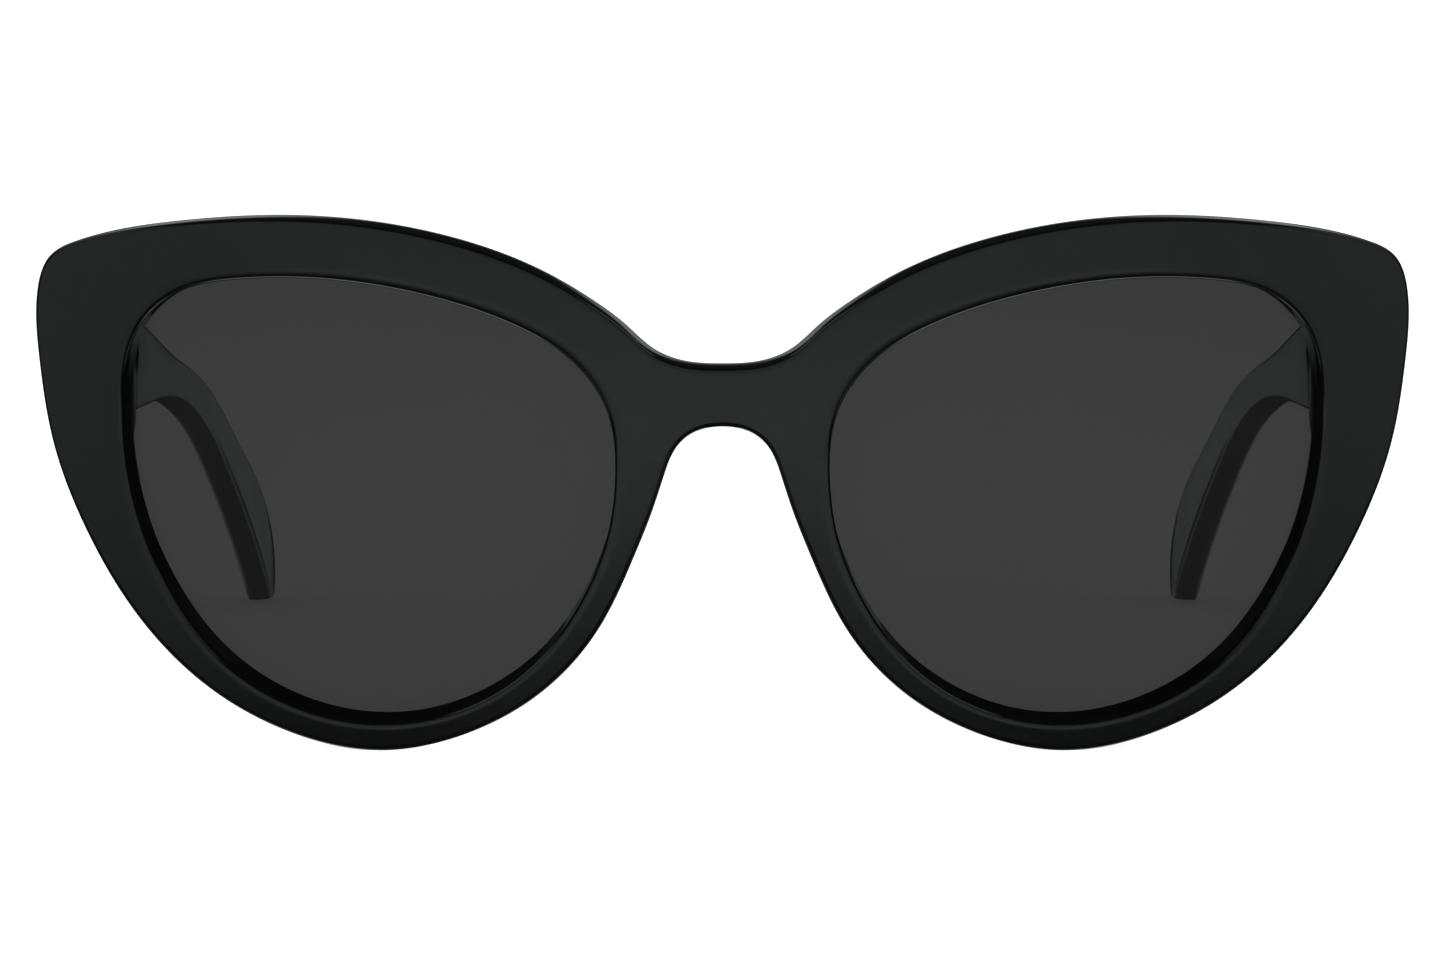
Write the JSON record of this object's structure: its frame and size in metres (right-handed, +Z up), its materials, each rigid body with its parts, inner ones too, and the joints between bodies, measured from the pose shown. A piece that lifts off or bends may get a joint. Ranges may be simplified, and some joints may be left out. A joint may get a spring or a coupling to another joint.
{
  "type": "cat eye sunglasses",
  "caption": "Cat eye sunglasses: bent black acetate front with upswept corners, grey tinted lenses and folding temples with bent ear tips.",
  "frame": {"origin": "on the surface the open glasses stand on, below the middle of their bounding box", "axes": "+X to the wearer's left, -Y the way the front faces, +Y back along the temples, +Z up"},
  "size_m": [0.1424, 0.145, 0.0556],
  "materials": {
    "front_acetate": "polished black acetate",
    "temple_acetate": "polished black acetate",
    "nose_pad_acetate": "polished black acetate, bonded to the rims",
    "lens_tint": "grey tinted lens, smooth both sides",
    "hinge_metal": "fine satin nickel silver",
    "screw_metal": "turned steel",
    "core_metal": "drawn nickel silver strip"
  },
  "bodies": {
    "front": {"front_frame": "front_acetate", "left_lens": "lens_tint", "left_nose_pad": "nose_pad_acetate", "left_front_hinge_leaf": "hinge_metal", "left_front_leaf_screws": "screw_metal", "left_hinge_screw": "screw_metal", "right_lens": "lens_tint", "right_nose_pad": "nose_pad_acetate", "right_front_hinge_leaf": "hinge_metal", "right_front_leaf_screws": "screw_metal", "right_hinge_screw": "screw_metal"},
    "left_temple": {"left_temple": "temple_acetate", "left_temple_core": "core_metal", "left_temple_hinge_leaf": "hinge_metal", "left_temple_leaf_screws": "screw_metal"},
    "right_temple": {"right_temple": "temple_acetate", "right_temple_core": "core_metal", "right_temple_hinge_leaf": "hinge_metal", "right_temple_leaf_screws": "screw_metal"}
  },
  "joints": [
    {"name": "left_temple_fold", "type": "hinge", "parent": "front", "child": "left_temple", "pos_m": [0.0636, -0.05304, 0.03958], "axis": [0, 0.1132, 0.9936], "range_deg": [0, 86]},
    {"name": "right_temple_fold", "type": "hinge", "parent": "front", "child": "right_temple", "pos_m": [-0.0636, -0.05304, 0.03958], "axis": [0, -0.1132, -0.9936], "range_deg": [0, 79]}
  ]
}
